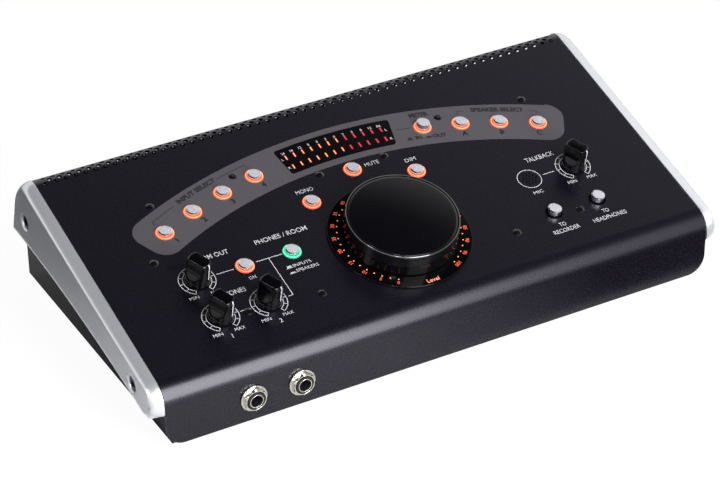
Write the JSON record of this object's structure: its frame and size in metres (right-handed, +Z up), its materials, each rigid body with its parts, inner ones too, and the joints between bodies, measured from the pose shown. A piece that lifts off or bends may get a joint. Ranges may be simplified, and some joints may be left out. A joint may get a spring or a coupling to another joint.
{
  "type": "studio monitor controller",
  "caption": "Wedge-shaped desktop audio controller with a large volume knob on a lit scale, pointer knobs, lit push buttons, a level meter and metal cheeks.",
  "frame": {"origin": "on the desk under the middle of the unit, at the bottom centre of its bounding box", "axes": "+X to the user's right across the panel, +Y from the front face to the rear sockets, +Z up; the panel rises to the rear at 15 degrees"},
  "size_m": [0.3282, 0.181, 0.0739],
  "materials": {
    "black_paint": "fine textured powder coat",
    "silver_paint": "satin silver paint on a casting",
    "gloss_black": "polished moulding",
    "matte_black": "matte moulding",
    "satin_metal": "satin plated cap",
    "chrome": "bright plated",
    "steel": "plain steel",
    "dark_steel": "blackened steel",
    "orange_lens": "clear collar lit orange",
    "green_lens": "clear collar lit green",
    "smoked_window": "smoked window",
    "circuit_board": "solder mask",
    "rubber": "moulded rubber",
    "black_moulding": "moulded",
    "white_print": "screen print",
    "grey_print": "screen print",
    "dark_print": "screen print",
    "scale_print": "lit scale marks",
    "led_orange": "lit meter steps",
    "led_red": "lit meter steps"
  },
  "bodies": {
    "root": {"top_cover": "black_paint", "base_tray": "black_paint", "foot_front_left": "rubber", "foot_front_right": "rubber", "foot_rear_left": "rubber", "foot_rear_right": "rubber", "cheek_left": "silver_paint", "cheek_right": "silver_paint", "cheek_screw_left_front": "dark_steel", "cheek_screw_left_rear": "dark_steel", "cheek_screw_right_front": "dark_steel", "cheek_screw_right_rear": "dark_steel", "main_circuit_board": "circuit_board", "source_light_guide": "orange_lens", "monitor_light_guide": "orange_lens", "level_light_guide": "orange_lens", "phones_light_guide": "green_lens", "meter_window": "smoked_window", "meter_led_bar": "black_moulding", "studio_potentiometer": "steel", "phones_1_potentiometer": "steel", "phones_2_potentiometer": "steel", "talkback_potentiometer": "steel", "volume_potentiometer": "steel", "volume_scale_disc": "gloss_black", "talkback_microphone": "rubber", "phones_jack_1": "black_moulding", "phones_jack_1_nut": "chrome", "phones_jack_2": "black_moulding", "phones_jack_2_nut": "chrome", "rear_jack_block": "black_moulding", "usb_socket": "steel", "power_inlet": "black_moulding"},
    "volume_control": {"volume_knob": "gloss_black", "volume_knob_cap": "matte_black", "volume_shaft": "steel"},
    "studio_control": {"studio_knob": "gloss_black", "studio_shaft": "steel"},
    "phones_1_control": {"phones_1_knob": "gloss_black", "phones_1_shaft": "steel"},
    "phones_2_control": {"phones_2_knob": "gloss_black", "phones_2_shaft": "steel"},
    "talkback_control": {"talkback_knob": "gloss_black", "talkback_shaft": "steel"},
    "source_1_button_body": {"source_1_button": "satin_metal"},
    "source_2_button_body": {"source_2_button": "satin_metal"},
    "source_3_button_body": {"source_3_button": "satin_metal"},
    "source_4_button_body": {"source_4_button": "satin_metal"},
    "monitor_a_button_body": {"monitor_a_button": "satin_metal"},
    "monitor_b_button_body": {"monitor_b_button": "satin_metal"},
    "monitor_c_button_body": {"monitor_c_button": "satin_metal"},
    "mono_button_body": {"mono_button": "satin_metal"},
    "mute_button_body": {"mute_button": "satin_metal"},
    "dim_button_body": {"dim_button": "satin_metal"},
    "studio_on_button_body": {"studio_on_button": "satin_metal"},
    "phones_source_button_body": {"phones_source_button": "satin_metal"},
    "meter_button_body": {"meter_button": "satin_metal"},
    "talk_to_recorder_button_body": {"talk_to_recorder_button": "satin_metal"},
    "talk_to_phones_button_body": {"talk_to_phones_button": "satin_metal"}
  },
  "joints": [
    {"name": "volume_turn", "type": "hinge", "parent": "root", "child": "volume_control", "pos_m": [0, -0.03824, 0.0493], "axis": [0, -0.2588, 0.9659], "range_deg": [-150, 150]},
    {"name": "studio_turn", "type": "hinge", "parent": "root", "child": "studio_control", "pos_m": [-0.1097, -0.02813, 0.05098], "axis": [0, -0.2588, 0.9659], "range_deg": [0, 300]},
    {"name": "phones_1_turn", "type": "hinge", "parent": "root", "child": "phones_1_control", "pos_m": [-0.1097, -0.05353, 0.04417], "axis": [0, -0.2588, 0.9659], "range_deg": [0, 300]},
    {"name": "phones_2_turn", "type": "hinge", "parent": "root", "child": "phones_2_control", "pos_m": [-0.08315, -0.05353, 0.04417], "axis": [0, -0.2588, 0.9659], "range_deg": [0, 300]},
    {"name": "talkback_turn", "type": "hinge", "parent": "root", "child": "talkback_control", "pos_m": [0.1108, -0.02813, 0.05098], "axis": [0, -0.2588, 0.9659], "range_deg": [0, 300]},
    {"name": "source_1_press", "type": "slide", "parent": "root", "child": "source_1_button_body", "axis": [0, -0.2588, 0.9659], "range_m": [0, 0.0016]},
    {"name": "source_2_press", "type": "slide", "parent": "root", "child": "source_2_button_body", "axis": [0, -0.2588, 0.9659], "range_m": [0, 0.0016]},
    {"name": "source_3_press", "type": "slide", "parent": "root", "child": "source_3_button_body", "axis": [0, -0.2588, 0.9659], "range_m": [0, 0.0016]},
    {"name": "source_4_press", "type": "slide", "parent": "root", "child": "source_4_button_body", "axis": [0, -0.2588, 0.9659], "range_m": [0, 0.0016]},
    {"name": "monitor_a_press", "type": "slide", "parent": "root", "child": "monitor_a_button_body", "axis": [0, -0.2588, 0.9659], "range_m": [0, 0.0016]},
    {"name": "monitor_b_press", "type": "slide", "parent": "root", "child": "monitor_b_button_body", "axis": [0, -0.2588, 0.9659], "range_m": [0, 0.0016]},
    {"name": "monitor_c_press", "type": "slide", "parent": "root", "child": "monitor_c_button_body", "axis": [0, -0.2588, 0.9659], "range_m": [0, 0.0016]},
    {"name": "mono_press", "type": "slide", "parent": "root", "child": "mono_button_body", "axis": [0, -0.2588, 0.9659], "range_m": [0, 0.0016]},
    {"name": "mute_press", "type": "slide", "parent": "root", "child": "mute_button_body", "axis": [0, -0.2588, 0.9659], "range_m": [0, 0.0016]},
    {"name": "dim_press", "type": "slide", "parent": "root", "child": "dim_button_body", "axis": [0, -0.2588, 0.9659], "range_m": [0, 0.0016]},
    {"name": "studio_on_press", "type": "slide", "parent": "root", "child": "studio_on_button_body", "axis": [0, -0.2588, 0.9659], "range_m": [0, 0.0016]},
    {"name": "phones_source_press", "type": "slide", "parent": "root", "child": "phones_source_button_body", "axis": [0, -0.2588, 0.9659], "range_m": [0, 0.0016]},
    {"name": "meter_press", "type": "slide", "parent": "root", "child": "meter_button_body", "axis": [0, -0.2588, 0.9659], "range_m": [-0.0016, 0]},
    {"name": "talk_to_recorder_press", "type": "slide", "parent": "root", "child": "talk_to_recorder_button_body", "axis": [0, -0.2588, 0.9659], "range_m": [-0.0016, 0], "stiffness_N_per_m": 150},
    {"name": "talk_to_phones_press", "type": "slide", "parent": "root", "child": "talk_to_phones_button_body", "axis": [0, -0.2588, 0.9659], "range_m": [-0.0016, 0], "stiffness_N_per_m": 150}
  ]
}
